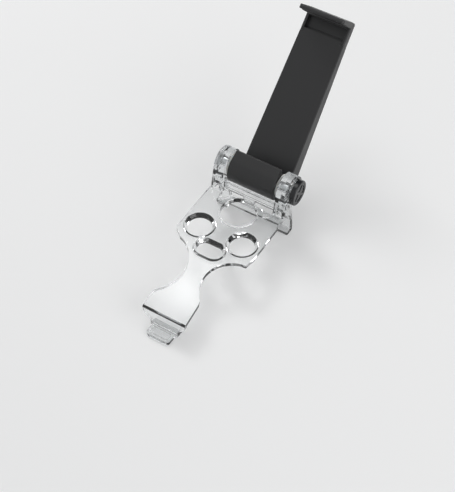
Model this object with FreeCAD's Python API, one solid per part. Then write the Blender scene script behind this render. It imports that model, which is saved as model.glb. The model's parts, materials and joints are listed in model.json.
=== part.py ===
import FreeCAD, Part
import math
import os

# Phone clip: a clear face plate that snaps over a hand-held body, and a hinged arm with two jaws.
# Millimetres. X to the right, Y to the rear, Z out of the plate.
# The origin is the centre of the largest round hole, on the plate's underside.

# Face plate
plate_t = 2.0
plate_over_ear = 0.2
shoulder_w = 3.3
plate_rear_y = 8.4
slope_start_y = -20.0
slope_radius = 157.0
front_y = -65.5
tongue_half_width = 11.4
corner_r = 2.4
corner_drop = 3.6
left_corner_in = 4.5
right_corner_in = 1.2
right_corner_rise = 2.0
side_taper_run = 6.0
side_r = 3.0
bay_end_r = 6.0
right_bay_in = 0.1
left_bay_y = -42.5
left_bay_r = 16.8
right_shoulder_w = 3.2
right_bay_r = 14.6

# Holes in the plate and their raised rims
main_hole_r = 8.6
side_hole_x = 11.65
side_hole_y = -15.8
side_hole_r = 6.0
slot_hole_y = -25.9
slot_hole_r = 3.9
slot_hole_straight = 5.0
hole_wall = 1.2
rim_h = 0.8
rim_flare = 1.2
rim_foot = 0.8
rim_sink = 0.4
rim_crest = 0.2
main_flare = 0.3

# Openings in the plate beside the largest hole
window_web = 1.9
window_to_ear = 0.5
window_front_y = 5.4
window_r = 0.8
window_narrow = 4.2
window_tip_y = 3.0

# Front wall, pull tab and front hook
wall_t = 1.8
wall_full_drop = 3.0
wall_slant_drop = 6.4
wall_drop = 11.4
wall_foot_half = 7.2
tab_half = 6.2
tab_reach = 6.0
tab_t = 1.8
tab_drop = 9.6
tab_r = 1.6
hook_reach = 3.0
hook_t = 1.9
hook_nose_t = 0.8
wall_lap = 0.3
wall_step = 1.0
wall_edge_r = 1.5
wall_step_r = 2.0
wall_foot_r = 1.0
tab_lap = 0.5
grip_side_in = 1.6
grip_root_in = 0.9
grip_front_in = 1.4
grip_depth = 0.5
grip_r = 0.9
grip_root_r = 0.6
fold_r = 1.2

# Hinge line and the two ears
hinge_y = 17.6
hinge_z = 12.3
ear_w = 6.1
ear_r = 7.5
ear_edge_r = 0.9
ear_front_y = 7.1
ear_neck_y = 15.2
ear_neck_z = 4.4
ear_wall = 1.4
ear_boss_r = 5.8
ear_window_h = 3.4
ear_window_r = 1.0
ear_window_depth = 4.0
ear_root_y = 12.6
ear_root_r = 3.0
ear_hollow_front_in = 2.1
ear_hollow_lean = 0.3
ear_hollow_low_z = -1.5
ear_hollow_neck_z = 3.4
ear_hollow_top_z = 9.0
ear_hollow_root_y = 11.5
leg_rear_y = 17.5
leg_bend_z = -6.6
leg_bottom_z = -15.2
leg_t = 2.2
leg_bend_r = 3.0
leg_inner_r = 2.5
leg_hollow_z = -6.0
leg_hollow_in = 2.5
leg_hollow_out = 0.4
rear_hook_reach = 2.8
rear_hook_t = 1.8
rear_hook_rise = 0.7
cross_h = 3.6

# Cross bar under the barrel
bar_front_y = 10.5
bar_rear_y = 13.0
bar_bottom_z = 1.0
bar_top_z = 6.1
bar_gap = 0.55
bar_groove = 0.45
bar_groove_end = 1.2
bar_lap = 0.5
rib_half = 3.0

# Hinge bolt, nut, washers and knob
bolt_r = 1.5
bolt_head_flats = 5.5
bolt_head_h = 2.0
head_sink = 0.2
bolt_hole_r = 1.62
bolt_end_gap = 0.4
nut_h = 2.4
nut_sink = 0.3
hex_gap = 0.12
washer_r = 5.6
thin_washer_t = 0.6
spring_washer_t = 1.05
spring_washer_r = 3.8
spring_split = 0.6
stack_gap = 0.05
knob_r = 6.4
knob_t = 2.5
knob_edge_r = 0.6
knob_hub_r = 4.3
knob_hub_len = 2.0
knob_gap = 0.15
cap_r = 5.2
cap_t = 0.7
cap_gap = 0.05
cap_rim = 0.7
cap_hub_r = 1.3
cap_dish = 0.3
cap_spokes = 4
cap_spoke_w = 1.1
thread_gap = 0.02

# Barrel and lower jaw, in the upright arm: front to -Y, length along +Z, hinge at zero
arm_lean = 46.6
barrel_r = 8.0
barrel_half = 12.5
barrel_bore = 2.4
barrel_end_r = 0.5
bush_len = 8.0
bush_gap = 0.03
lip_tip_y = -6.3
lip_tip_z = 7.4
lip_t = 1.5
lip_slant = 0.2
lip_side_r = 0.8
lip_inset = 0.3
floor_z = 3.8
jaw_pad_t = 0.9
pad_sink = 0.6
pad_gap = 0.1
pad_end_in = 1.6
pad_front_in = 1.3
pad_rear_in = 1.0
low_pad_in = 1.4
low_pad_r = 0.8
low_pad_gap = 0.25

# Sleeve of the arm
arm_front_y = 9.6
arm_shoulder = 0.6
arm_half_high = 11.85
arm_top_z = 71.3
arm_t_low = 9.0
arm_t_high = 5.0
arm_low_z = 5.0
heel_y = 18.3
heel_z = 2.6
heel_r = 1.6
web_top_z = 6.0
arm_edge_r = 0.5
sleeve_wall = 1.5
front_lip_top_z = 73.0
slot_half = 10.4
cavity_low_z = 8.6
cover_half = 10.7
cover_t = 1.4
cover_low_z = 3.6
cover_gap = 0.1

# Sliding upper jaw
slide_gap = 0.12
jaw_travel = 20.0
jaw_stop_gap = 0.1
jaw_seam = 0.08
jaw_top_z = 83.2
jaw_back_t_high = 4.3
jaw_floor_y = 12.3
jaw_floor_low_z = 74.1
jaw_groove_low_z = 72.4
jaw_groove_y = 13.0
jaw_floor_high_z = 79.4
jaw_wall = 1.45
jaw_corner_r = 1.2
lip_up_tip_y = -3.7
lip_up_low_z = 79.9
lip_up_t = 2.1
lip_up_low_r = 0.7
lip_up_high_r = 0.9
jaw_brow_r = 2.0
jaw_end_r = 0.7
lip_corner_r = 1.6
frame_leg_half = 8.0
frame_foot_z = 9.2
frame_foot_h = 3.2
frame_foot_t = 3.0
frame_head_z = 54.0

# Springs that pull the upper jaw down
spring_x = 4.6
spring_wire = 0.35
spring_out_r = 1.45
spring_turns = 18
spring_seat_gap = 0.05
spigot_r = 0.75
spigot_h = 1.6
ledge_z = 50.0
ledge_h = 3.4
ledge_half = 7.4

# Screws that hold the back cover
boss_r = 2.2
rib_lap = 0.5
screw_r = 0.9
screw_head_r = 1.7
screw_head_h = 0.9
screw_len = 4.2
screw_gap = 0.05
screw_sink = 0.15
cross_w = 0.5
cross_len = 2.2
cross_depth = 0.35
stop_screw_z = frame_foot_z + frame_foot_h + jaw_travel + boss_r + jaw_stop_gap
low_screw_x = 7.4
low_screw_z = 6.1

cut_over = 1.0
ear_in = barrel_half + thin_washer_t + spring_washer_t + 3 * stack_gap
ear_out = ear_in + ear_w
plate_half_width = ear_out + plate_over_ear
plate_shoulder_y = left_bay_y + left_bay_r + shoulder_w
right_bay_y = plate_shoulder_y - right_shoulder_w - right_bay_r
window_out_x = ear_in - window_to_ear
arm_half_low = barrel_half + arm_shoulder
plate_top = plate_t
main_rim_r = main_hole_r + main_flare + rim_foot
slope_run = slope_start_y - front_y
front_drop = slope_radius - math.sqrt(slope_radius ** 2 - slope_run ** 2)
fold_z = plate_top - front_drop
outline_low_z = fold_z - 2 * plate_t
outline_high_z = plate_top + rim_h + cut_over
side_x = plate_half_width + cut_over
far_back_y = heel_y + arm_t_low


def vec(x, y, z):
    return FreeCAD.Vector(x, y, z)


def box(x0, x1, y0, y1, z0, z1):
    return Part.makeBox(x1 - x0, y1 - y0, z1 - z0, vec(x0, y0, z0))


def rod_x(r, x0, x1, y, z):
    return Part.makeCylinder(r, x1 - x0, vec(x0, y, z), vec(1, 0, 0))


def rod_y(r, y0, y1, x, z):
    return Part.makeCylinder(r, y1 - y0, vec(x, y0, z), vec(0, 1, 0))


def rod_z(r, z0, z1, x, y):
    return Part.makeCylinder(r, z1 - z0, vec(x, y, z0), vec(0, 0, 1))


def hex_x(flats, x0, x1, y, z):
    """Hexagonal prism along X with one flat on top."""
    r = flats / math.sqrt(3)
    corners = [vec(x0, y + r * math.cos(k * math.pi / 3), z + r * math.sin(k * math.pi / 3))
               for k in range(7)]
    return Part.Face(Part.makePolygon(corners)).extrude(vec(x1 - x0, 0, 0))


def rounded_wire(corners, place):
    """Closed wire through (a, b, radius) corners, each turned with its own radius."""
    edges = []
    starts = []
    ends = []
    mids = []
    count = len(corners)
    for k in range(count):
        a, b, r = corners[k]
        pa, pb, _ = corners[k - 1]
        na, nb, _ = corners[(k + 1) % count]
        here = vec(a, b, 0)
        back = (vec(pa, pb, 0) - here).normalize()
        ahead = (vec(na, nb, 0) - here).normalize()
        half = back.getAngle(ahead) / 2
        if r == 0 or half > math.radians(89.5):
            starts.append(here)
            ends.append(here)
            mids.append(None)
            continue
        run = r / math.tan(half)
        inward = (back + ahead).normalize()
        starts.append(here + back * run)
        ends.append(here + ahead * run)
        mids.append(here + inward * (r / math.sin(half) - r))
    for k in range(count):
        if mids[k] is not None:
            edges.append(Part.Arc(place(starts[k]), place(mids[k]), place(ends[k])).toShape())
        nxt = starts[(k + 1) % count]
        if (nxt - ends[k]).Length > 1e-6:
            edges.append(Part.makeLine(place(ends[k]), place(nxt)))
    return Part.Wire(edges)


def prism_x(corners, x0, x1):
    """Side profile given as (y, z, radius), extruded from x0 to x1."""
    wire = rounded_wire(corners, lambda p: vec(x0, p.x, p.y))
    return Part.Face(wire).extrude(vec(x1 - x0, 0, 0))


def prism_y(corners, y0, y1):
    """Front profile given as (x, z, radius), extruded from y0 to y1."""
    wire = rounded_wire(corners, lambda p: vec(p.x, y0, p.y))
    return Part.Face(wire).extrude(vec(0, y1 - y0, 0))


def prism_z(corners, z0, z1):
    """Plan given as (x, y, radius), extruded from z0 to z1."""
    wire = rounded_wire(corners, lambda p: vec(p.x, p.y, z0))
    return Part.Face(wire).extrude(vec(0, 0, z1 - z0))


def edges_near(shape, points, reach):
    """Edges whose middle lies within reach of one of the points."""
    found = []
    for edge in shape.Edges:
        middle = edge.valueAt((edge.FirstParameter + edge.LastParameter) / 2)
        if any((middle - p).Length < reach for p in points):
            found.append(edge)
    return found


def round_edges(shape):
    """Edges of a shape that are full circles."""
    return [e for e in shape.Edges if e.Curve.TypeId == "Part::GeomCircle" and e.isClosed()]


def ear_tangent():
    """Where the ear's front edge, rising from its foot, meets the round head."""
    foot = vec(ear_front_y - hinge_y, -hinge_z, 0)
    turn = math.acos(ear_r / foot.Length)
    angle = math.atan2(foot.y, foot.x) - turn
    return hinge_y + ear_r * math.cos(angle), hinge_z + ear_r * math.sin(angle)


def stadium(r, straight, z, y):
    """Level wire: a circle, or two half circles joined by straights along X."""
    if straight == 0:
        return Part.Wire([Part.makeCircle(r, vec(0, y, z))])
    h = straight / 2
    right = Part.Arc(vec(h, y - r, z), vec(h + r, y, z), vec(h, y + r, z)).toShape()
    left = Part.Arc(vec(-h, y + r, z), vec(-h - r, y, z), vec(-h, y - r, z)).toShape()
    top = Part.makeLine(vec(h, y + r, z), vec(-h, y + r, z))
    low = Part.makeLine(vec(-h, y - r, z), vec(h, y - r, z))
    return Part.Wire([right, top, left, low])


def loft(low, high):
    return Part.makeLoft([low, high], True, True)


def rim_solid(r, flare, straight, y):
    """Raised ring round a hole, from below the plate's top to its crest."""
    crest = plate_top + rim_h
    foot = stadium(r + flare + rim_foot, straight, plate_top - rim_sink, y)
    top = stadium(r + flare + rim_crest, straight, crest, y)
    return loft(foot, top)


def rim_hole(r, flare, straight, y):
    """The hole with its straight wall, and the flare that opens to the crest."""
    crest = plate_top + rim_h
    wall = loft(stadium(r, straight, -cut_over, y), stadium(r, straight, crest + cut_over, y))
    slope = flare / (crest - hole_wall)
    mouth = stadium(r + flare + slope * cut_over, straight, crest + cut_over, y)
    return wall.fuse(loft(stadium(r, straight, hole_wall, y), mouth))


def plate_body():
    """Plate: level over the holes, then curving down towards the front."""
    centre_z = plate_top - slope_radius
    turn = math.asin((slope_run + plate_t) / slope_radius)

    def on_arc(radius, share):
        angle = turn * share
        return vec(-side_x, slope_start_y - radius * math.sin(angle), centre_z + radius * math.cos(angle))

    low_radius = slope_radius - plate_t
    start_top = on_arc(slope_radius, 0)
    start_low = on_arc(low_radius, 0)
    rear_top = vec(-side_x, bar_front_y + bar_lap, plate_top)
    rear_low = vec(-side_x, bar_front_y + bar_lap, 0)
    profile = Part.Wire([
        Part.makeLine(rear_low, rear_top),
        Part.makeLine(rear_top, start_top),
        Part.Arc(start_top, on_arc(slope_radius, 0.5), on_arc(slope_radius, 1)).toShape(),
        Part.makeLine(on_arc(slope_radius, 1), on_arc(low_radius, 1)),
        Part.Arc(on_arc(low_radius, 1), on_arc(low_radius, 0.5), start_low).toShape(),
        Part.makeLine(start_low, rear_low),
    ])
    slab = Part.Face(profile).extrude(vec(2 * side_x, 0, 0))
    w = plate_half_width
    t = tongue_half_width
    outline = prism_z([
        (ear_out, plate_rear_y, 0), (-ear_out, plate_rear_y, 0),
        (-w, plate_rear_y - side_taper_run, side_r),
        (-w, plate_shoulder_y, corner_r), (-w + left_corner_in, plate_shoulder_y - corner_drop, 0),
        (-t, left_bay_y, 0), (-t, front_y, 0), (t, front_y, 0), (t, right_bay_y, 0),
        (w - right_corner_in, plate_shoulder_y - corner_drop, corner_r),
        (w, plate_shoulder_y + right_corner_rise, side_r), (w, plate_rear_y - side_taper_run, side_r),
    ], outline_low_z, outline_high_z)
    cut_low_z = outline_low_z - cut_over
    cut_high_z = outline_high_z + cut_over
    right_bay_x = w - right_bay_in
    outline = outline.cut(rod_z(left_bay_r, cut_low_z, cut_high_z, -w, left_bay_y))
    outline = outline.cut(rod_z(right_bay_r, cut_low_z, cut_high_z, right_bay_x, right_bay_y))
    left_bay_end = left_bay_y - math.sqrt(left_bay_r ** 2 - (w - t) ** 2)
    right_bay_end = right_bay_y - math.sqrt(right_bay_r ** 2 - (right_bay_x - t) ** 2)
    middle_z = (outline_low_z + outline_high_z) / 2
    cusps = edges_near(outline, [vec(-t, left_bay_end, middle_z), vec(t, right_bay_end, middle_z)], 0.5)
    return slab.common(outline.makeFillet(bay_end_r, cusps))


def window(side):
    """Opening in the plate between the largest rim, the bar and one ear."""
    r = main_rim_r + window_web
    inner_x = r / 6
    hole = prism_z([
        (side * window_out_x, bar_front_y, window_r), (side * window_out_x, window_front_y, window_r),
        (side * (window_out_x - window_narrow), window_tip_y, window_r), (side * inner_x, window_tip_y, 0),
        (side * inner_x, bar_front_y, 0),
    ], -cut_over, plate_top + cut_over)
    return hole.cut(rod_z(r, -2 * cut_over, plate_top + 2 * cut_over, 0, 0))


def front_wall():
    """Wall that drops from the fold, with the pull tab and the front hook."""
    t = tongue_half_width
    half = wall_foot_half
    top = fold_z - wall_lap
    full_z = fold_z - wall_full_drop
    step_z = fold_z - wall_slant_drop - wall_step
    bottom = fold_z - wall_drop
    wall = prism_y([
        (-t, top, 0), (t, top, 0), (t, full_z, wall_edge_r), (half, step_z, wall_step_r),
        (half, bottom, wall_foot_r), (-half, bottom, wall_foot_r),
        (-half, step_z, wall_step_r), (-t, full_z, wall_edge_r),
    ], front_y, front_y + wall_t)
    tab_z = fold_z - tab_drop
    tab = prism_z([
        (-tab_half, front_y + tab_lap, 0), (tab_half, front_y + tab_lap, 0),
        (tab_half, front_y - tab_reach, tab_r), (-tab_half, front_y - tab_reach, tab_r),
    ], tab_z - tab_t, tab_z)
    inner = tab_half - grip_side_in
    root_y = front_y - grip_root_in
    grip_y = front_y - tab_reach + grip_front_in
    grip = prism_z([
        (-inner, root_y, grip_root_r), (inner, root_y, grip_root_r),
        (inner, grip_y, grip_r), (-inner, grip_y, grip_r),
    ], tab_z - grip_depth, tab_z + grip_depth)
    lap_y = front_y + wall_lap
    nose_y = front_y + wall_t + hook_reach
    hook = prism_x([
        (lap_y, bottom, 0.2), (nose_y, bottom, 0.5), (nose_y, bottom + hook_nose_t, 0.3),
        (front_y + wall_t, bottom + hook_t, 0), (lap_y, bottom + hook_t, 0),
    ], -half, half)
    return wall.fuse([tab.cut(grip), hook])


def ear(side):
    """One hinge ear: round head, slanted front, and a leg that ends in the rear hook."""
    ty, tz = ear_tangent()
    rear = leg_rear_y
    inner = rear - leg_t
    nose_y = inner - rear_hook_reach
    body = prism_x([
        (ear_front_y, 0, 0.5), (ty, tz, 0), (hinge_y, hinge_z, 0), (ear_neck_y, ear_neck_z, 0),
        (rear, leg_bend_z, leg_bend_r), (rear, leg_bottom_z, 0.8), (nose_y, leg_bottom_z, 0.5),
        (nose_y, leg_bottom_z + rear_hook_t, 0.4), (inner, leg_bottom_z + rear_hook_t + rear_hook_rise, 0.5),
        (inner, leg_bend_z, leg_inner_r), (ear_root_y, 0, ear_root_r),
    ], ear_in, ear_out)
    slope_middle = vec(ear_out, (ear_front_y + ty) / 2, tz / 2)
    body = body.makeFillet(ear_edge_r, edges_near(body, [slope_middle], 0.5))
    head = rod_x(ear_r, ear_in, ear_out, hinge_y, hinge_z)
    rims = [e for e in round_edges(head) if e.Vertexes[0].X > ear_out - ear_edge_r]
    body = body.fuse(head.makeFillet(ear_edge_r, rims))
    hollow = prism_x([
        (ear_front_y + ear_hollow_front_in, ear_hollow_low_z, 0),
        (hinge_y - ear_r + ear_wall + ear_hollow_lean, ear_hollow_top_z, 0),
        (ear_neck_y, ear_hollow_top_z, 0), (ear_neck_y - ear_wall, ear_hollow_neck_z, 0),
        (inner + leg_hollow_out, leg_hollow_z, 1.0), (inner - leg_hollow_in, leg_hollow_z, 0),
        (ear_hollow_root_y, ear_hollow_low_z, 0),
    ], ear_in + ear_wall, ear_out - ear_wall)
    hollow = hollow.cut(rod_x(ear_boss_r, ear_in, ear_out, hinge_y, hinge_z))
    left = ear_in + ear_wall
    right = ear_out - ear_wall
    window_top = plate_top + ear_window_h
    foot_window = prism_y([
        (left, -cut_over, 0), (right, -cut_over, 0),
        (right, window_top, ear_window_r), (left, window_top, ear_window_r),
    ], ear_front_y - cut_over, ear_front_y + ear_window_depth)
    body = body.cut(hollow.fuse(foot_window))
    if side > 0:
        return body
    return body.mirror(vec(0, 0, 0), vec(1, 0, 0))


def cross_bar():
    """Grooved bar between the ears, hollowed to the barrel's round."""
    bar = prism_x([
        (bar_front_y, bar_bottom_z, 0.6), (bar_front_y, bar_top_z, 0.5),
        (bar_rear_y, bar_top_z, 0), (bar_rear_y, bar_bottom_z, 0.5),
    ], -ear_in - bar_lap, ear_in + bar_lap)
    bar = bar.cut(rod_x(barrel_r + bar_gap, -ear_out, ear_out, hinge_y, hinge_z))
    groove_z = (bar_bottom_z + bar_top_z) / 2
    groove = prism_x([
        (bar_front_y, groove_z - bar_groove, 0), (bar_front_y, groove_z + bar_groove, 0),
        (bar_front_y + bar_groove, groove_z, 0),
    ], -ear_in + bar_groove_end, ear_in - bar_groove_end)
    return bar.cut(groove)


def face_clip():
    """The clear one-piece moulding: plate, rims, front wall, bar, ears and rear hook."""
    body = plate_body()
    body = body.fuse([
        front_wall(), ear(1), ear(-1), cross_bar(),
        rim_solid(main_hole_r, main_flare, 0, 0),
        rim_solid(slot_hole_r, rim_flare, slot_hole_straight, slot_hole_y),
        move(rim_solid(side_hole_r, rim_flare, 0, side_hole_y), side_hole_x),
        move(rim_solid(side_hole_r, rim_flare, 0, side_hole_y), -side_hole_x),
        box(-rib_half, rib_half, main_hole_r + main_flare, bar_front_y + bar_lap, 0, plate_top),
        box(-ear_in - bar_lap, ear_in + bar_lap, leg_rear_y - leg_t, leg_rear_y,
            leg_bottom_z, leg_bottom_z + cross_h),
    ])
    for hole in (
        rim_hole(main_hole_r, main_flare, 0, 0),
        rim_hole(slot_hole_r, rim_flare, slot_hole_straight, slot_hole_y),
        move(rim_hole(side_hole_r, rim_flare, 0, side_hole_y), side_hole_x),
        move(rim_hole(side_hole_r, rim_flare, 0, side_hole_y), -side_hole_x),
        window(1), window(-1),
        rod_x(bolt_hole_r, -ear_out - cut_over, ear_out + cut_over, hinge_y, hinge_z),
        hex_x(bolt_head_flats + 2 * hex_gap, -ear_out - cut_over, -ear_out + bolt_head_h + head_sink,
              hinge_y, hinge_z),
        rod_x(knob_hub_r + knob_gap, ear_out - knob_hub_len - knob_gap, ear_out + cut_over, hinge_y, hinge_z),
    ):
        body = body.cut(hole)
    body = body.removeSplitter()
    fold = edges_near(body, [vec(0, front_y, fold_z)], 0.8)
    return body.makeFillet(fold_r, fold)


def move(shape, x):
    moved = shape.copy()
    moved.translate(vec(x, 0, 0))
    return moved


def hinge_bolt():
    """Hexagon bolt, head in the left ear, end inside the knob."""
    head_x = -ear_out + bolt_head_h
    head = hex_x(bolt_head_flats, -ear_out + stack_gap, head_x, hinge_y, hinge_z)
    end = ear_out + knob_gap + knob_t - cap_t - bolt_end_gap
    return head.fuse(rod_x(bolt_r, head_x - bolt_head_h / 4, end, hinge_y, hinge_z))


def ring_x(r_out, r_in, x0, x1):
    ring = rod_x(r_out, x0, x1, hinge_y, hinge_z)
    return ring.cut(rod_x(r_in, x0 - 1, x1 + 1, hinge_y, hinge_z))


def washer_left():
    return ring_x(washer_r, bolt_hole_r, -ear_in + stack_gap, -barrel_half - stack_gap)


def washer_right():
    x0 = barrel_half + stack_gap
    return ring_x(washer_r, bolt_hole_r, x0, x0 + thin_washer_t)


def spring_washer():
    """Split spring washer between the right washer and the ear."""
    x0 = barrel_half + 2 * stack_gap + thin_washer_t
    x1 = x0 + spring_washer_t
    ring = ring_x(spring_washer_r, bolt_hole_r, x0, x1)
    half = spring_split / 2
    split = box(x0 - cut_over, x1 + cut_over, hinge_y, hinge_y + washer_r, hinge_z - half, hinge_z + half)
    return ring.cut(split)


def knob():
    """Thumb knob: rounded disc with a hub that reaches into the ear and traps the nut."""
    x0 = ear_out + knob_gap
    disc = rod_x(knob_r, x0, x0 + knob_t, hinge_y, hinge_z)
    rims = [e for e in round_edges(disc) if e.Vertexes[0].X > x0 + knob_t / 2]
    disc = disc.makeFillet(knob_edge_r, rims)
    hub = rod_x(knob_hub_r, x0 - knob_hub_len, x0 + knob_edge_r, hinge_y, hinge_z)
    body = disc.fuse(hub)
    hub_x = x0 - knob_hub_len - cut_over
    body = body.cut(rod_x(cap_r + cap_gap, x0 + knob_t - cap_t, x0 + knob_t + cut_over, hinge_y, hinge_z))
    body = body.cut(rod_x(bolt_r + knob_gap, hub_x, x0 + knob_t, hinge_y, hinge_z))
    return body.cut(hex_x(bolt_head_flats + hex_gap, hub_x, nut_x() + nut_h, hinge_y, hinge_z))


def nut_x():
    return ear_out + knob_gap - knob_hub_len + nut_sink


def hinge_nut():
    x0 = nut_x()
    nut = hex_x(bolt_head_flats, x0, x0 + nut_h - stack_gap, hinge_y, hinge_z)
    return nut.cut(rod_x(bolt_r + thread_gap, x0 - 1, x0 + nut_h + 1, hinge_y, hinge_z))


def knob_cap():
    """Disc that closes the knob, with four low spokes round a hub."""
    x0 = ear_out + knob_gap + knob_t - cap_t + thread_gap
    x1 = x0 + cap_t - 2 * cap_gap
    dish = ring_x(cap_r - cap_rim, cap_hub_r, x1 - cap_dish, x1 + cut_over)
    for k in range(cap_spokes):
        spoke = box(x1 - 2 * cap_dish, x1 + cut_over, 0, cap_r, -cap_spoke_w / 2, cap_spoke_w / 2)
        spoke.rotate(vec(0, 0, 0), vec(1, 0, 0), 45 + k * 360 / cap_spokes)
        spoke.translate(vec(0, hinge_y, hinge_z))
        dish = dish.cut(spoke)
    return rod_x(cap_r, x0, x1, hinge_y, hinge_z).cut(dish)


def lean(shape):
    """From the upright arm to its place on the hinge."""
    placed = shape.copy()
    placed.rotate(vec(0, 0, 0), vec(1, 0, 0), -arm_lean)
    placed.translate(vec(0, hinge_y, hinge_z))
    return placed


def back_y(z):
    """Outer back of the arm at a height: the arm is a wedge, thick at the hinge."""
    share = (arm_top_z - z) / (arm_top_z - arm_low_z)
    return arm_front_y + arm_t_high + (arm_t_low - arm_t_high) * share


def half_at(z):
    """Half the arm's width at a height."""
    share = (arm_top_z - z) / (arm_top_z - arm_low_z)
    return arm_half_high + (arm_half_low - arm_half_high) * share


def barrel_tangent(y, z, lower):
    """Where a line from a point meets the barrel's round, on the front or lower side."""
    away = math.hypot(y, z)
    turn = math.acos(barrel_r / away)
    angle = math.atan2(z, y) - turn if lower else math.atan2(z, y) + turn
    return barrel_r * math.cos(angle), barrel_r * math.sin(angle)


def sleeve_block(z0, z1, y0, depth):
    """Tapered block of the arm between two heights, from y0 back to the wedge less a depth."""
    front = prism_y([
        (-half_at(z0), z0, 0), (half_at(z0), z0, 0), (half_at(z1), z1, 0), (-half_at(z1), z1, 0),
    ], y0, far_back_y)
    side = prism_x([
        (y0, z0, 0), (back_y(z0) - depth, z0, 0), (back_y(z1) - depth, z1, 0), (y0, z1, 0),
    ], -side_x, side_x)
    return front.common(side)


def screw_places():
    return [
        (0, stop_screw_z), (0, ledge_z + ledge_h / 2),
        (-low_screw_x, low_screw_z), (low_screw_x, low_screw_z),
    ]


def arm_shell():
    """Barrel, lower jaw and the front and sides of the sleeve in one moulding."""
    front_y_t, front_z_t = barrel_tangent(lip_tip_y, lip_tip_z, False)
    low_y_t, low_z_t = barrel_tangent(heel_y - heel_r, heel_z, True)
    web_half = barrel_half - barrel_end_r
    lip_half = barrel_half - lip_inset
    barrel = rod_x(barrel_r, -barrel_half, barrel_half, 0, 0)
    barrel = barrel.makeFillet(barrel_end_r, round_edges(barrel))
    web = prism_x([
        (low_y_t, low_z_t, 0), (heel_y - heel_r, heel_z, 0), (heel_y - heel_r, web_top_z, 0),
        (0, web_top_z, 0), (0, 0, 0),
    ], -web_half, web_half)
    lip = prism_x([
        (front_y_t, front_z_t, 0), (lip_tip_y, lip_tip_z, 0.6), (lip_tip_y + lip_t, lip_tip_z, 0.6),
        (lip_tip_y + lip_t + 2 * lip_slant, 0, 0), (0, 0, 0),
    ], -lip_half, lip_half)
    lip = lip.common(prism_y([
        (-lip_half, -barrel_r, 0), (lip_half, -barrel_r, 0), (lip_half, lip_tip_z, lip_side_r),
        (-lip_half, lip_tip_z, lip_side_r),
    ], -side_x, side_x))
    block = sleeve_block(heel_z, arm_top_z, arm_front_y, 0)
    block = block.makeFillet(heel_r, edges_near(block, [vec(0, back_y(heel_z), heel_z)], 0.5))
    long_edges = [e for e in block.Edges if e.Length > arm_top_z / 2]
    block = block.makeFillet(arm_edge_r, long_edges)
    body = barrel.fuse([web, lip, block])
    seat = box(-side_x, side_x, lip_tip_y + lip_t + lip_slant, arm_front_y, floor_z, barrel_r + cut_over)
    body = body.cut(seat)
    upper = box(-slot_half + slide_gap, slot_half - slide_gap, arm_front_y, arm_front_y + sleeve_wall,
                arm_top_z - rib_lap, front_lip_top_z)
    cavity = box(-slot_half, slot_half, arm_front_y + sleeve_wall, far_back_y,
                 cavity_low_z, arm_top_z + cut_over)
    rebate = box(-cover_half, cover_half, 0, far_back_y, cover_low_z, arm_top_z + cut_over)
    rebate = rebate.cut(sleeve_block(0.0, arm_top_z + 2 * cut_over, -cut_over, cover_t))
    body = body.cut(cavity.fuse(rebate))
    ribs = []
    for x, z in screw_places()[:2]:
        ribs.append(rod_y(boss_r, arm_front_y + rib_lap, far_back_y, x, z))
    ribs.append(box(-ledge_half, ledge_half, arm_front_y + rib_lap, far_back_y, ledge_z, ledge_z + ledge_h))
    inside = sleeve_block(0.0, arm_top_z, arm_front_y, cover_t + cover_gap)
    body = body.fuse([upper] + [rib.common(inside) for rib in ribs])
    for x in (-spring_x, spring_x):
        body = body.fuse(rod_z(spigot_r, ledge_z - spigot_h, ledge_z + rib_lap, x, spring_y()))
    for x, z in screw_places():
        y1 = back_y(z)
        body = body.cut(rod_y(screw_r + screw_gap, y1 - cover_t - screw_len, y1 + cut_over, x, z))
    return body.cut(rod_x(barrel_bore, -side_x, side_x, 0, 0)).removeSplitter()


def spring_y():
    """Depth of the springs' axes in the sleeve."""
    return arm_front_y + sleeve_wall + slide_gap + spring_out_r + pad_gap


def arm_back_cover():
    """Wedge's back plate, let in between the side walls and screwed on."""
    low = cover_low_z + cover_gap
    block = sleeve_block(low, arm_top_z, 0.0, 0)
    cover = block.cut(sleeve_block(0.0, arm_top_z + 2 * cut_over, -cut_over, cover_t))
    half = cover_half - cover_gap
    cover = cover.common(box(-half, half, 0, far_back_y, low, arm_top_z))
    for x, z in screw_places():
        y1 = back_y(z)
        cover = cover.cut(rod_y(screw_r + screw_gap, y1 - 2 * cover_t, y1 + cut_over, x, z))
        cover = cover.cut(rod_y(screw_head_r + cover_gap, y1 - screw_head_h, y1 + cut_over, x, z))
    return cover


def cover_screws():
    """Four small screws, heads sunk in the cover."""
    screws = []
    for x, z in screw_places():
        seat_y = back_y(z) - screw_head_h + screw_gap
        y1 = back_y(z) - screw_sink
        head = rod_y(screw_head_r, seat_y, y1, x, z)
        shank = rod_y(screw_r, seat_y - screw_len, seat_y + cross_depth, x, z)
        a = cross_w / 2
        b = cross_len / 2
        slot = box(x - a, x + a, y1 - cross_depth, y1 + cut_over, z - b, z + b)
        cross = box(x - b, x + b, y1 - cross_depth, y1 + cut_over, z - a, z + a)
        screws.append(head.fuse(shank).cut(slot.fuse(cross)))
    return Part.makeCompound(screws)


def bush(side):
    """Plain bush at one end of the barrel, running on the bolt."""
    x0, x1 = sorted((side * (barrel_half - bush_len), side * barrel_half))
    ring = rod_x(barrel_bore - bush_gap, x0, x1, 0, 0)
    return ring.cut(rod_x(bolt_r + bush_gap, x0 - 1, x1 + 1, 0, 0))


def lower_jaw_pad():
    """Rubber strip on the lower jaw's floor."""
    y0 = lip_tip_y + lip_t + lip_slant + low_pad_gap
    y1 = arm_front_y - low_pad_gap
    half = barrel_half - low_pad_in
    return prism_z([
        (-half, y0, low_pad_r), (half, y0, low_pad_r), (half, y1, low_pad_r), (-half, y1, low_pad_r),
    ], floor_z, floor_z + jaw_pad_t)


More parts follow.
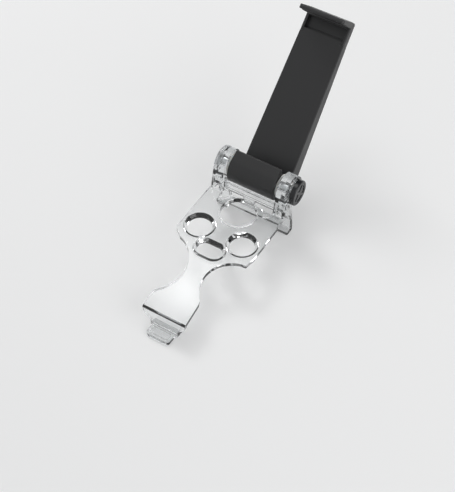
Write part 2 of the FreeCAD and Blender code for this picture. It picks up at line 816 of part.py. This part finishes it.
def jaw_back_y(z):
    """Outer back of the upper jaw: on from the sleeve's, thinning to the top."""
    share = (z - arm_top_z) / (jaw_top_z - arm_top_z)
    return arm_front_y + arm_t_high - (arm_t_high - jaw_back_t_high) * share


def upper_jaw():
    """Sliding jaw: head with lip and recess, and the frame that runs inside the sleeve."""
    z0 = arm_top_z + jaw_seam
    half = arm_half_high
    side = prism_x([
        (arm_front_y, z0, 0), (arm_front_y, lip_up_low_z, 0.4), (lip_up_tip_y, lip_up_low_z, lip_up_low_r),
        (lip_up_tip_y, lip_up_low_z + lip_up_t, lip_up_high_r), (arm_front_y, jaw_top_z, jaw_brow_r),
        (jaw_back_y(jaw_top_z), jaw_top_z, jaw_corner_r), (jaw_back_y(z0), z0, 0),
    ], -half, half)
    top_edges = [e for e in side.Edges if abs(abs(e.CenterOfMass.x) - half) < 0.01
                 and e.CenterOfMass.z > lip_up_low_z + lip_up_t / 2]
    side = side.makeFillet(jaw_end_r, top_edges)
    plan = prism_z([
        (-half, far_back_y, 0), (half, far_back_y, 0), (half, lip_up_tip_y, lip_corner_r),
        (-half, lip_up_tip_y, lip_corner_r),
    ], z0, jaw_top_z + cut_over)
    body = side.common(plan)
    inner = half - jaw_wall
    tongue_front = arm_front_y + sleeve_wall + slide_gap
    tongue_back = back_y(arm_top_z) - cover_t - slide_gap
    recess = box(-inner, inner, 0, jaw_floor_y, jaw_floor_low_z, jaw_floor_high_z)
    body = body.cut(recess)
    body = body.cut(box(-inner, inner, 0, tongue_front, z0 - 1, jaw_floor_low_z))
    body = body.cut(box(-inner, inner, 0, jaw_groove_y, jaw_groove_low_z, jaw_floor_low_z))
    x1, y0, y1 = upper_pad_plan(pad_gap)
    body = body.cut(box(-x1, x1, y0, y1, lip_up_low_z - cut_over, lip_up_low_z + pad_sink))
    run = slot_half - slide_gap
    tongue = box(-run, run, tongue_front, tongue_back, frame_foot_z, z0 + rib_lap)
    gap = box(-frame_leg_half, frame_leg_half, 0, far_back_y, frame_foot_z + frame_foot_h, frame_head_z)
    tongue = tongue.cut(gap)
    foot_top = frame_foot_z + frame_foot_h
    foot = box(-run, run, tongue_front, tongue_front + frame_foot_t, frame_foot_z, foot_top)
    body = body.fuse([tongue, foot])
    for x in (-spring_x, spring_x):
        body = body.fuse(rod_z(spigot_r, foot_top - rib_lap, foot_top + spigot_h, x, spring_y()))
    return body.removeSplitter()


def upper_pad_plan(grow):
    """Half length, front and rear of the upper pad, grown all round by a clearance."""
    half = arm_half_high - pad_end_in + grow
    return half, lip_up_tip_y + pad_front_in - grow, arm_front_y - pad_rear_in + grow


def upper_jaw_pad():
    """Rubber strip let into the underside of the upper jaw's lip."""
    x1, y0, y1 = upper_pad_plan(0)
    high_z = lip_up_low_z + pad_sink
    low_z = high_z - jaw_pad_t
    return prism_x([(y0, high_z, 0), (y0, low_z, 0.2), (y1, low_z, 0.2), (y1, high_z, 0)], -x1, x1)


def slide_spring(side):
    """Compression spring between the frame's foot and the sleeve's ledge, ends ground flat."""
    z0 = frame_foot_z + frame_foot_h + spring_seat_gap
    z1 = ledge_z - spring_seat_gap
    length = z1 - z0
    mean_r = spring_out_r - spring_wire / 2
    pitch = (length - spring_wire) / spring_turns
    helix = Part.makeHelix(pitch, length - spring_wire, mean_r)
    ring = Part.Wire([Part.makeCircle(spring_wire / 2, vec(mean_r, 0, 0), vec(0, 1, 0))])
    coil = Part.Wire(helix).makePipeShell([ring], True, True)
    coil.translate(vec(side * spring_x, spring_y(), z0 + spring_wire / 2))
    return coil


def save(name, shape):
    solids = shape.Solids
    assert shape.isValid() and solids, name
    shape.exportStep("parts/" + name + ".step")
    print(name, len(solids), round(shape.Volume, 1))


def main():
    os.makedirs("parts", exist_ok=True)
    save("face_clip", face_clip())
    save("hinge_bolt", hinge_bolt())
    save("hinge_nut", hinge_nut())
    save("friction_washer_left", washer_left())
    save("friction_washer_right", washer_right())
    save("spring_washer", spring_washer())
    save("knob", knob())
    save("knob_cap", knob_cap())
    save("arm_shell", lean(arm_shell()))
    save("arm_back_cover", lean(arm_back_cover()))
    save("cover_screws", lean(cover_screws()))
    save("barrel_bush_left", lean(bush(-1)))
    save("barrel_bush_right", lean(bush(1)))
    save("lower_jaw_pad", lean(lower_jaw_pad()))
    save("upper_jaw", lean(upper_jaw()))
    save("upper_jaw_pad", lean(upper_jaw_pad()))
    save("slide_spring_left", lean(slide_spring(-1)))
    save("slide_spring_right", lean(slide_spring(1)))


main()
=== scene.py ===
import json
import math

import bmesh
import bpy
from mathutils import Matrix, Vector


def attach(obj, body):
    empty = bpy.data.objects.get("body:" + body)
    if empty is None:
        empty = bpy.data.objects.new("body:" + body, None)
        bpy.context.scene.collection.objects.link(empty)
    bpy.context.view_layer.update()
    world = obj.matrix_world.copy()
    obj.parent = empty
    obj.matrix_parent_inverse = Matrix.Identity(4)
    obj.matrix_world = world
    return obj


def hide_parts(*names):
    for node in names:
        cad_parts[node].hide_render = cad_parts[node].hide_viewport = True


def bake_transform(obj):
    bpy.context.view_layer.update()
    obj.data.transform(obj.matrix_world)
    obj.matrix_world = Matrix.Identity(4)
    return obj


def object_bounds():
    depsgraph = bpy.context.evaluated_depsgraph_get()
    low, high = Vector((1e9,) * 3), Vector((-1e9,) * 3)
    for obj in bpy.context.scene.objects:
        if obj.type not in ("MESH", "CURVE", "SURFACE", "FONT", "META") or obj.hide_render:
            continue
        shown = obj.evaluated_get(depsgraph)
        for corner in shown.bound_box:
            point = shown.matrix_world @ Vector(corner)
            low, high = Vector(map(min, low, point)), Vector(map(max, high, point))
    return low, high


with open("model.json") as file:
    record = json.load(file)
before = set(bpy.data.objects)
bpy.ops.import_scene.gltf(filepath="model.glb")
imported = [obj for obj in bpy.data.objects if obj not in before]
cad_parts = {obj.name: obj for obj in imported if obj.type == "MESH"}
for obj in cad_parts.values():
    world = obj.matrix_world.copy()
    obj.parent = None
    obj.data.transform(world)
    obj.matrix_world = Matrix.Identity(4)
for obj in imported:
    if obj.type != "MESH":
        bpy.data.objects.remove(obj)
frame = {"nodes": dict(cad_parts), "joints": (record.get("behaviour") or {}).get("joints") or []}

# Phone clip with a clear face plate, a friction hinge and a black two-jaw arm.
# Metres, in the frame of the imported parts: X right, Y rear, Z out of the plate.

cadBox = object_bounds()
mm = 0.001

# The joint line and the way the arm leans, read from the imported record
tiltJoint = next(j for j in frame["joints"] if j["name"] == "arm_tilt")
slideJoint = next(j for j in frame["joints"] if j["name"] == "jaw_slide")
hingePoint = Vector(tiltJoint["pos_m"])
armUp = Vector(slideJoint["axis"]).normalized()
armBack = Vector((0, armUp.z, -armUp.y))


# Colours and nodes
def linear(hexColour):
    channels = []
    for k in (0, 2, 4):
        value = int(hexColour.lstrip("#")[k:k + 2], 16) / 255
        channels.append(value / 12.92 if value <= 0.04045 else ((value + 0.055) / 1.055) ** 2.4)
    return (*channels, 1.0)


def addNode(tree, kind, settings=None, inputs=None):
    node = tree.nodes.new(kind)
    for name, value in (settings or {}).items():
        setattr(node, name, value)
    for name, value in (inputs or {}).items():
        if isinstance(value, bpy.types.NodeSocket):
            tree.links.new(value, node.inputs[name])
        else:
            node.inputs[name].default_value = value
    return node


def newMaterial(name):
    material = bpy.data.materials.new(name)
    material.use_nodes = True
    tree = material.node_tree
    tree.nodes.clear()
    shader = addNode(tree, "ShaderNodeBsdfPrincipled")
    addNode(tree, "ShaderNodeOutputMaterial", inputs={"Surface": shader.outputs["BSDF"]})
    return material, tree, shader


# Object coordinates scaled so that one unit of a pattern is size in mm
def objectPoint(tree, size):
    coords = addNode(tree, "ShaderNodeTexCoord")
    scale = 1 / (size * mm)
    return addNode(tree, "ShaderNodeMapping", inputs={
        "Vector": coords.outputs["Object"], "Scale": (scale, scale, scale)}).outputs["Vector"]


def noiseOf(tree, size, detail):
    return addNode(tree, "ShaderNodeTexNoise", inputs={
        "Vector": objectPoint(tree, size), "Scale": 1.0, "Detail": detail}).outputs["Fac"]


# Noise seldom leaves the middle of its range, so roughness is spread over that part
patches = {"detail": 3.0, "fromValue": 0.3, "toValue": 0.7, "cloudDetail": 4.0}
mixSockets = {"first": 6, "second": 7, "result": 2}  # the colour sockets of a Mix node


def roughnessBetween(tree, shader, look):
    noise = noiseOf(tree, look["patchMm"], patches["detail"])
    spread = addNode(tree, "ShaderNodeMapRange", inputs={
        "Value": noise, "From Min": patches["fromValue"], "From Max": patches["toValue"],
        "To Min": look["low"], "To Max": look["high"]})
    tree.links.new(spread.outputs["Result"], shader.inputs["Roughness"])


def bumpFrom(tree, shader, height, strength, depth):
    bump = addNode(tree, "ShaderNodeBump", inputs={
        "Height": height, "Strength": strength, "Distance": depth * mm})
    tree.links.new(bump.outputs["Normal"], shader.inputs["Normal"])


def colourBetween(tree, shader, size, first, second):
    colour = addNode(tree, "ShaderNodeMix", {"data_type": "RGBA"}, {
        "Factor": noiseOf(tree, size, patches["cloudDetail"])})
    colour.inputs[mixSockets["first"]].default_value = linear(first)
    colour.inputs[mixSockets["second"]].default_value = linear(second)
    tree.links.new(colour.outputs[mixSockets["result"]], shader.inputs["Base Color"])


# Object coordinates centred on the hinge line
def hingeCentred(tree, size):
    coords = addNode(tree, "ShaderNodeTexCoord")
    scale = 1 / (size * mm)
    place = Matrix.Diagonal((scale, scale, scale)) @ -hingePoint
    return addNode(tree, "ShaderNodeMapping", inputs={
        "Vector": coords.outputs["Object"], "Location": place,
        "Scale": (scale, scale, scale)}).outputs["Vector"]


def clearPolycarbonate():
    # Injection-moulded clear polycarbonate: glassy, greyer where thick, with slow ripples from the mould.
    look = {"base": "#FAFBFB", "ior": 1.585, "rough": 0.02, "tint": "#C2C5C7", "perMetre": 44.0,
            "rippleMm": 9.0, "rippleDetail": 1.0, "rippleStrength": 1.0, "rippleDepth": 0.012}
    material, tree, shader = newMaterial("clearPolycarbonate")
    shader.inputs["Base Color"].default_value = linear(look["base"])
    shader.inputs["IOR"].default_value = look["ior"]
    shader.inputs["Roughness"].default_value = look["rough"]
    shader.inputs["Transmission Weight"].default_value = 1.0
    ripple = noiseOf(tree, look["rippleMm"], look["rippleDetail"])
    bumpFrom(tree, shader, ripple, look["rippleStrength"], look["rippleDepth"])
    inside = addNode(tree, "ShaderNodeVolumeAbsorption", inputs={
        "Color": linear(look["tint"]), "Density": look["perMetre"]})
    output = next(node for node in tree.nodes if node.type == "OUTPUT_MATERIAL")
    tree.links.new(inside.outputs["Volume"], output.inputs["Volume"])
    return material


def sparkedAbs():
    # Black ABS from a spark-eroded mould: even satin black, its fine grain drawn at 0.35 mm so that it shows.
    look = {"base": "#19191A", "ior": 1.48, "low": 0.37, "high": 0.46, "patchMm": 14.0,
            "grainMm": 0.35, "grainDetail": 2.0, "grainStrength": 0.5, "grainDepth": 0.02}
    material, tree, shader = newMaterial("sparkedBlackAbs")
    shader.inputs["Base Color"].default_value = linear(look["base"])
    shader.inputs["IOR"].default_value = look["ior"]
    roughnessBetween(tree, shader, look)
    grain = noiseOf(tree, look["grainMm"], look["grainDetail"])
    bumpFrom(tree, shader, grain, look["grainStrength"], look["grainDepth"])
    return material


def polishedAbs():
    # Dark grey ABS from a polished mould: the glossiest dark piece, its face still close to black.
    look = {"base": "#1B1C1E", "ior": 1.48, "specular": 0.36, "low": 0.16, "high": 0.24, "patchMm": 5.0}
    material, tree, shader = newMaterial("polishedGreyAbs")
    shader.inputs["Base Color"].default_value = linear(look["base"])
    shader.inputs["Specular IOR Level"].default_value = look["specular"]
    shader.inputs["IOR"].default_value = look["ior"]
    roughnessBetween(tree, shader, look)
    return material


def stripRubber():
    # Moulded rubber strip: duller than the plastic round it, faintly dusty in patches.
    look = {"base": "#1E1E1F", "dust": "#272728", "ior": 1.52, "low": 0.68, "high": 0.85, "patchMm": 4.0,
            "grainMm": 0.25, "grainDetail": 2.0, "grainStrength": 0.6, "grainDepth": 0.03}
    material, tree, shader = newMaterial("stripRubber")
    shader.inputs["IOR"].default_value = look["ior"]
    colourBetween(tree, shader, look["patchMm"], look["base"], look["dust"])
    roughnessBetween(tree, shader, look)
    grain = noiseOf(tree, look["grainMm"], look["grainDetail"])
    bumpFrom(tree, shader, grain, look["grainStrength"], look["grainDepth"])
    return material


def turnedNylon():
    # Natural nylon washers: milky white, with fine turning rings about the bolt.
    look = {"base": "#F0F0EC", "ior": 1.53, "rough": 0.42,
            "milky": 0.35, "softMm": 0.8, "softTint": (1.0, 0.9, 0.8),
            "ringMm": 0.3, "ringScale": 0.3, "ringWobble": 0.4, "ringStrength": 0.4, "ringDepth": 0.015}
    material, tree, shader = newMaterial("naturalNylon")
    shader.inputs["Base Color"].default_value = linear(look["base"])
    shader.inputs["IOR"].default_value = look["ior"]
    shader.inputs["Roughness"].default_value = look["rough"]
    shader.inputs["Subsurface Weight"].default_value = look["milky"]
    shader.inputs["Subsurface Radius"].default_value = look["softTint"]
    shader.inputs["Subsurface Scale"].default_value = look["softMm"] * mm
    rings = addNode(tree, "ShaderNodeTexWave", {"wave_type": "RINGS", "rings_direction": "X"}, {
        "Vector": hingeCentred(tree, look["ringMm"]), "Scale": look["ringScale"],
        "Distortion": look["ringWobble"]})
    bumpFrom(tree, shader, rings.outputs["Fac"], look["ringStrength"], look["ringDepth"])
    return material


def zincSteel():
    # Zinc-plated steel from a barrel bath: pale satin metal, slightly cloudy where the plating varies.
    look = {"base": "#E6E7E8", "cloud": "#D8DADC", "low": 0.42, "high": 0.56, "patchMm": 1.6}
    material, tree, shader = newMaterial("zincPlatedSteel")
    shader.inputs["Metallic"].default_value = 1.0
    colourBetween(tree, shader, look["patchMm"], look["base"], look["cloud"])
    roughnessBetween(tree, shader, look)
    return material


def drawnSpringSteel():
    # Drawn music wire: darker grey metal, its gloss uneven along the wire.
    look = {"base": "#8E9196", "low": 0.25, "high": 0.35, "patchMm": 0.6}
    material, tree, shader = newMaterial("drawnSpringSteel")
    shader.inputs["Base Color"].default_value = linear(look["base"])
    shader.inputs["Metallic"].default_value = 1.0
    roughnessBetween(tree, shader, look)
    return material


def acetalBlack():
    # Black acetal bushes: slightly waxy, smoother than the arm.
    look = {"base": "#161617", "ior": 1.48, "low": 0.26, "high": 0.36, "patchMm": 2.0}
    material, tree, shader = newMaterial("blackAcetal")
    shader.inputs["Base Color"].default_value = linear(look["base"])
    shader.inputs["IOR"].default_value = look["ior"]
    roughnessBetween(tree, shader, look)
    return material


finishes = {
    "clear_polycarbonate": clearPolycarbonate(),
    "black_abs": sparkedAbs(),
    "grey_abs": polishedAbs(),
    "rubber_strip": stripRubber(),
    "natural_nylon": turnedNylon(),
    "black_acetal": acetalBlack(),
    "zinc_steel": zincSteel(),
    "spring_steel": drawnSpringSteel(),
}
print("materials made:", len(finishes))

# Moulded pieces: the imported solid, welded, with its edges broken as the mould leaves them.
# A piece's round is the width of its broken edges in mm.
meshCare = {"weld": 0.002, "flat": 0.4, "sharp": 35}  # mm, then degrees


def dressNode(name, look):
    mesh = bpy.data.meshes.new(name)
    work = bmesh.new()
    work.from_mesh(frame["nodes"][look["node"]].data)
    bmesh.ops.remove_doubles(work, verts=work.verts, dist=meshCare["weld"] * mm)
    bmesh.ops.dissolve_degenerate(work, edges=work.edges, dist=meshCare["weld"] * mm)
    flat = math.radians(meshCare["flat"])
    bmesh.ops.dissolve_limit(work, angle_limit=flat, verts=work.verts, edges=work.edges)
    work.to_mesh(mesh)
    work.free()
    mesh.materials.clear()
    mesh.materials.append(finishes[look["slot"]])
    mesh.shade_smooth()
    piece = bpy.data.objects.new(name, mesh)
    bpy.context.scene.collection.objects.link(piece)
    bevel = piece.modifiers.new("brokenEdges", "BEVEL")
    bevel.width = look["round"] * mm
    bevel.segments = look["steps"]
    bevel.limit_method = "ANGLE"
    bevel.angle_limit = math.radians(meshCare["sharp"])
    bevel.use_clamp_overlap = True
    weights = piece.modifiers.new("flatFaces", "WEIGHTED_NORMAL")
    weights.keep_sharp = True
    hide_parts(look["node"])
    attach(piece, look["body"])
    print("dressed", name)


facePlate = {"node": "face_clip", "body": "clip", "slot": "clear_polycarbonate", "round": 0.22, "steps": 2}
dressNode("facePlate", facePlate)

armShell = {"node": "arm_shell", "body": "arm", "slot": "black_abs", "round": 0.3, "steps": 2}
dressNode("armShell", armShell)

armBackCover = {"node": "arm_back_cover", "body": "arm", "slot": "black_abs", "round": 0.12, "steps": 2}
dressNode("armBackCover", armBackCover)

upperJaw = {"node": "upper_jaw", "body": "jaw", "slot": "black_abs", "round": 0.12, "steps": 2}
dressNode("upperJaw", upperJaw)

thumbKnob = {"node": "knob", "body": "knob", "slot": "grey_abs", "round": 0.12, "steps": 2}
dressNode("thumbKnob", thumbKnob)

thumbKnobCap = {"node": "knob_cap", "body": "knob", "slot": "grey_abs", "round": 0.12, "steps": 2}
dressNode("thumbKnobCap", thumbKnobCap)

lowerJawStrip = {"node": "lower_jaw_pad", "body": "arm", "slot": "rubber_strip", "round": 0.2, "steps": 2}
dressNode("lowerJawStrip", lowerJawStrip)

upperJawStrip = {"node": "upper_jaw_pad", "body": "jaw", "slot": "rubber_strip", "round": 0.12, "steps": 2}
dressNode("upperJawStrip", upperJawStrip)

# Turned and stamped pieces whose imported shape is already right
for node, slotName in (
    ("hinge_bolt", "zinc_steel"), ("hinge_nut", "zinc_steel"), ("spring_washer", "spring_steel"),
    ("friction_washer_left", "natural_nylon"), ("friction_washer_right", "natural_nylon"),
    ("barrel_bush_left", "black_acetal"), ("barrel_bush_right", "black_acetal"),
    ("cover_screws", "zinc_steel"),
):
    for materialSlot in frame["nodes"][node].material_slots:
        materialSlot.material = finishes[slotName]
print("plain pieces finished")


# The pair of coil springs in the sleeve, sizes in mm
springSizes = {"turns": 18.0, "wire": 0.35, "outer": 1.45, "wireSides": 8, "turnSteps": 20}


def springTree():
    tree = bpy.data.node_groups.new("coilSpring", "GeometryNodeTree")
    for name, kind in (
        ("Turns", "NodeSocketFloat"), ("Mean Radius", "NodeSocketFloat"), ("Length", "NodeSocketFloat"),
        ("Wire Radius", "NodeSocketFloat"), ("Finish", "NodeSocketMaterial"),
    ):
        tree.interface.new_socket(name, in_out="INPUT", socket_type=kind)
    tree.interface.new_socket("Geometry", in_out="OUTPUT", socket_type="NodeSocketGeometry")
    given = addNode(tree, "NodeGroupInput")
    coil = addNode(tree, "GeometryNodeCurveSpiral", inputs={
        "Resolution": springSizes["turnSteps"], "Rotations": given.outputs["Turns"],
        "Start Radius": given.outputs["Mean Radius"], "End Radius": given.outputs["Mean Radius"],
        "Height": given.outputs["Length"]})
    wire = addNode(tree, "GeometryNodeCurvePrimitiveCircle", inputs={
        "Resolution": springSizes["wireSides"], "Radius": given.outputs["Wire Radius"]})
    tube = addNode(tree, "GeometryNodeCurveToMesh", inputs={
        "Curve": coil.outputs["Curve"], "Profile Curve": wire.outputs["Curve"], "Fill Caps": True})
    smooth = addNode(tree, "GeometryNodeSetShadeSmooth", inputs={"Geometry": tube.outputs["Mesh"]})
    real = addNode(tree, "GeometryNodeRealizeInstances", inputs={"Geometry": smooth.outputs["Geometry"]})
    coat = addNode(tree, "GeometryNodeSetMaterial", inputs={
        "Geometry": real.outputs["Geometry"], "Material": given.outputs["Finish"]})
    addNode(tree, "NodeGroupOutput", inputs={"Geometry": coat.outputs["Geometry"]})
    return tree


# A plain mesh from a tree, with its inputs set by the sockets' identifiers
def grown(tree, name, values):
    holder = bpy.data.objects.new(name + "Source", bpy.data.meshes.new(name + "Source"))
    bpy.context.scene.collection.objects.link(holder)
    modifier = holder.modifiers.new("grow", "NODES")
    modifier.node_group = tree
    for socket in tree.interface.items_tree:
        if socket.in_out == "INPUT" and socket.name in values:
            modifier[socket.identifier] = values[socket.name]
    bpy.context.view_layer.update()
    settled = holder.evaluated_get(bpy.context.evaluated_depsgraph_get())
    mesh = bpy.data.meshes.new_from_object(settled)
    bpy.data.objects.remove(holder)
    piece = bpy.data.objects.new(name, mesh)
    bpy.context.scene.collection.objects.link(piece)
    return piece


def coilSprings():
    tree = springTree()
    wire = springSizes["wire"] * mm
    for node, name in (("slide_spring_left", "slideSpringLeft"), ("slide_spring_right", "slideSpringRight")):
        points = [v.co for v in frame["nodes"][node].data.vertices]
        along = [(p - hingePoint).dot(armUp) for p in points]
        deep = [(p - hingePoint).dot(armBack) for p in points]
        low, high = min(along), max(along)
        centreX = (min(p.x for p in points) + max(p.x for p in points)) / 2
        centreY = (min(deep) + max(deep)) / 2
        piece = grown(tree, name, {
            "Turns": springSizes["turns"], "Mean Radius": springSizes["outer"] * mm - wire / 2,
            "Length": high - low - wire, "Wire Radius": wire / 2, "Finish": finishes["spring_steel"]})
        start = hingePoint + Vector((centreX, 0, 0)) + armBack * centreY + armUp * (low + wire / 2)
        turn = Matrix((Vector((1, 0, 0)), armBack, armUp)).transposed().to_4x4()
        piece.data.transform(Matrix.Translation(start) @ turn)
        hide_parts(node)
        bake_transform(piece)
    print("springs coiled")


coilSprings()


# Pale floor, soft lamps and the photograph's camera. The floor lies drop mm under the part.
backdrop = {"tone": "#EFF0F1", "paper": "#F1F1F1", "drop": 0.1, "size": 3.0, "nearVeil": 0.3,
            "nearReach": 0.16, "farReach": 0.5, "fill": 0.36}
# In reflections the room is the pale ground in front and dimmer overhead and behind
ceiling = {"level": 0.2, "towards": (-0.2, 0.6, 0.775), "fromCosine": 0.4, "toCosine": 0.85}


# 1 for rays that see the backdrop directly: from the camera, in a reflection, or through clear plastic
def seenDirectly(tree, withCamera):
    rays = addNode(tree, "ShaderNodeLightPath")
    seen = addNode(tree, "ShaderNodeMath", {"operation": "MAXIMUM"}, {
        0: rays.outputs["Is Transmission Ray"], 1: rays.outputs["Is Glossy Ray"]})
    if not withCamera:
        return seen.outputs[0]
    wide = addNode(tree, "ShaderNodeMath", {"operation": "MAXIMUM"}, {
        0: seen.outputs[0], 1: rays.outputs["Is Camera Ray"]})
    return wide.outputs[0]


def mixedBy(tree, share, first, second):
    return addNode(tree, "ShaderNodeMixShader", inputs={0: share, 1: first, 2: second}).outputs[0]


def floorMaterial():
    # Matt backdrop paper: takes the soft shadow near the part and fades to the even pale ground.
    look = backdrop
    material = bpy.data.materials.new("backdropPaper")
    material.use_nodes = True
    tree = material.node_tree
    tree.nodes.clear()
    paper = addNode(tree, "ShaderNodeBsdfDiffuse", inputs={"Color": linear(look["paper"])})
    ground = addNode(tree, "ShaderNodeEmission", inputs={"Color": linear(look["tone"]), "Strength": 1.0})
    coords = addNode(tree, "ShaderNodeTexCoord")
    away = addNode(tree, "ShaderNodeVectorMath", {"operation": "LENGTH"}, {0: coords.outputs["Object"]})
    veil = addNode(tree, "ShaderNodeMapRange", {"interpolation_type": "SMOOTHSTEP"}, {
        "Value": away.outputs["Value"], "From Min": look["nearReach"], "From Max": look["farReach"],
        "To Min": look["nearVeil"], "To Max": 1.0})
    share = addNode(tree, "ShaderNodeMath", {"operation": "MULTIPLY"}, {
        0: seenDirectly(tree, True), 1: veil.outputs["Result"]})
    surface = mixedBy(tree, share.outputs[0], paper.outputs[0], ground.outputs[0])
    addNode(tree, "ShaderNodeOutputMaterial", inputs={"Surface": surface})
    return material


def makeFloor():
    half = backdrop["size"] / 2
    z = cadBox[0].z - backdrop["drop"] * mm
    mesh = bpy.data.meshes.new("floor")
    corners = [(-half, -half, z), (half, -half, z), (half, half, z), (-half, half, z)]
    mesh.from_pydata(corners, [], [(0, 1, 2, 3)])
    mesh.materials.append(floorMaterial())
    floor = bpy.data.objects.new("floor", mesh)
    bpy.context.scene.collection.objects.link(floor)


# The room: even soft fill, and the pale ground for the camera
def makeWorld():
    plain = (1, 1, 1, 1)
    world = bpy.data.worlds.new("studio")
    bpy.context.scene.world = world
    world.use_nodes = True
    tree = world.node_tree
    tree.nodes.clear()
    fill = addNode(tree, "ShaderNodeBackground", inputs={"Color": plain, "Strength": backdrop["fill"]})
    tone = linear(backdrop["tone"])
    ground = addNode(tree, "ShaderNodeBackground", inputs={"Color": tone, "Strength": 1.0})
    dim = addNode(tree, "ShaderNodeBackground", inputs={"Color": plain, "Strength": ceiling["level"]})
    coords = addNode(tree, "ShaderNodeTexCoord")
    lean = addNode(tree, "ShaderNodeVectorMath", {"operation": "DOT_PRODUCT"}, {
        0: coords.outputs["Generated"], 1: ceiling["towards"]})
    height = addNode(tree, "ShaderNodeMapRange", {"interpolation_type": "SMOOTHSTEP"}, {
        "Value": lean.outputs["Value"], "From Min": ceiling["fromCosine"], "From Max": ceiling["toCosine"]})
    mirrored = mixedBy(tree, height.outputs["Result"], ground.outputs[0], dim.outputs[0])
    rays = addNode(tree, "ShaderNodeLightPath")
    room = mixedBy(tree, seenDirectly(tree, False), fill.outputs[0], mirrored)
    surface = mixedBy(tree, rays.outputs["Is Camera Ray"], room, ground.outputs[0])
    addNode(tree, "ShaderNodeOutputWorld", inputs={"Surface": surface})


lampAim = (0, 0.01, 0.02)
diffuser = {"middle": 0.06, "edge": 0.5}  # where its light starts to fade and where it ends
lamps = [
    {"name": "overheadDiffuser", "at": (-0.33, 0.2, 0.9), "size": 0.9, "watts": 7.4, "fades": True},
    {"name": "keySoftbox", "at": (-0.55, 0.36, 0.74), "size": 0.3, "watts": 2.6, "fades": False},
    {"name": "rightSoftbox", "at": (0.75, -0.1, 0.45), "size": 0.7, "watts": 3.2, "fades": False},
]


# A diffuser lit from its middle: its reflection has no hard edge
def fadeOut(data):
    data.use_nodes = True
    tree = data.node_tree
    tree.nodes.clear()
    place = addNode(tree, "ShaderNodeNewGeometry")
    centred = addNode(tree, "ShaderNodeVectorMath", {"operation": "SUBTRACT"}, {
        0: place.outputs["Parametric"], 1: (0.5, 0.5, 0.0)})
    flat = addNode(tree, "ShaderNodeVectorMath", {"operation": "MULTIPLY"}, {
        0: centred.outputs["Vector"], 1: (1.0, 1.0, 0.0)})
    away = addNode(tree, "ShaderNodeVectorMath", {"operation": "LENGTH"}, {0: flat.outputs["Vector"]})
    fade = addNode(tree, "ShaderNodeMapRange", {"interpolation_type": "SMOOTHSTEP"}, {
        "Value": away.outputs["Value"], "From Min": diffuser["middle"], "From Max": diffuser["edge"],
        "To Min": 1.0, "To Max": 0.0})
    glow = addNode(tree, "ShaderNodeEmission", inputs={"Strength": fade.outputs["Result"]})
    addNode(tree, "ShaderNodeOutputLight", inputs={"Surface": glow.outputs["Emission"]})


def makeLamps():
    for lamp in lamps:
        data = bpy.data.lights.new(lamp["name"], "AREA")
        data.shape = "SQUARE"
        data.size = lamp["size"]
        data.energy = lamp["watts"]
        if lamp["fades"]:
            fadeOut(data)
        obj = bpy.data.objects.new(lamp["name"], data)
        bpy.context.scene.collection.objects.link(obj)
        obj.location = lamp["at"]
        obj.rotation_euler = (Vector(lampAim) - obj.location).to_track_quat("-Z", "Y").to_euler()


cameraView = {"at": (0.20384, -0.34376, 0.46375), "tilt": 39.4, "turn": 31.4, "focalPixels": 1286.0,
              "imageHeight": 492.0, "sensor": 36.0, "near": 0.01, "far": 20.0}


def makeCamera():
    data = bpy.data.cameras.new("photoCamera")
    data.sensor_width = cameraView["sensor"]
    data.lens = cameraView["focalPixels"] * cameraView["sensor"] / cameraView["imageHeight"]
    data.clip_start = cameraView["near"]
    data.clip_end = cameraView["far"]
    camera = bpy.data.objects.new("photoCamera", data)
    bpy.context.scene.collection.objects.link(camera)
    camera.location = cameraView["at"]
    camera.rotation_euler = (math.radians(cameraView["tilt"]), 0, math.radians(cameraView["turn"]))
    bpy.context.scene.camera = camera


makeFloor()
makeWorld()
makeLamps()
makeCamera()
bpy.context.scene.view_settings.view_transform = "Standard"
print("stage ready")
